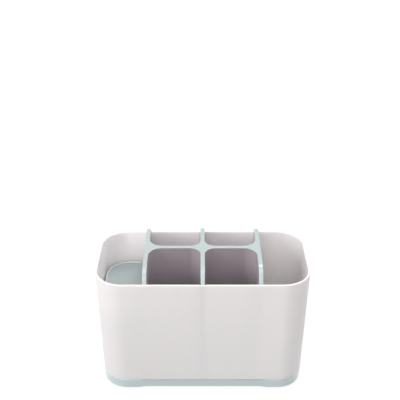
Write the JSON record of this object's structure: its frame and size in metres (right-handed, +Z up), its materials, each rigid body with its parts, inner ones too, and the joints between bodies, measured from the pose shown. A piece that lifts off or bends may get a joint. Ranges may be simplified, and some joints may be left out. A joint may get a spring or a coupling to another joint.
{
  "type": "toothbrush caddy",
  "caption": "Open-topped toothbrush caddy: a tapered sleeve on a shallow drip tray, with a lift-out divider that makes upright compartments and carries a small shelf.",
  "frame": {"origin": "middle of the caddy on the surface that it stands on", "axes": "+X to the right along the width, -Y to the front, +Z up"},
  "size_m": [0.178, 0.084, 0.1211],
  "materials": {
    "grey_blue_plastic": "smooth moulded plastic with a soft gloss",
    "pale_pink_plastic": "smooth moulded plastic with a satin sheen",
    "grey_rubber": "soft matte rubber"
  },
  "bodies": {
    "tray": {"base_tray": "grey_blue_plastic", "foot_front_left": "grey_rubber", "foot_front_right": "grey_rubber", "foot_rear_left": "grey_rubber", "foot_rear_right": "grey_rubber"},
    "sleeve": {"outer_sleeve": "pale_pink_plastic"},
    "insert": {"divider_insert": "grey_blue_plastic"}
  },
  "joints": [
    {"name": "sleeve_lift", "type": "slide", "parent": "tray", "child": "sleeve", "axis": [0, 0, 1], "range_m": [0, 0.07]},
    {"name": "insert_lift", "type": "slide", "parent": "sleeve", "child": "insert", "axis": [0, 0, 1], "range_m": [0, 0.117]}
  ]
}
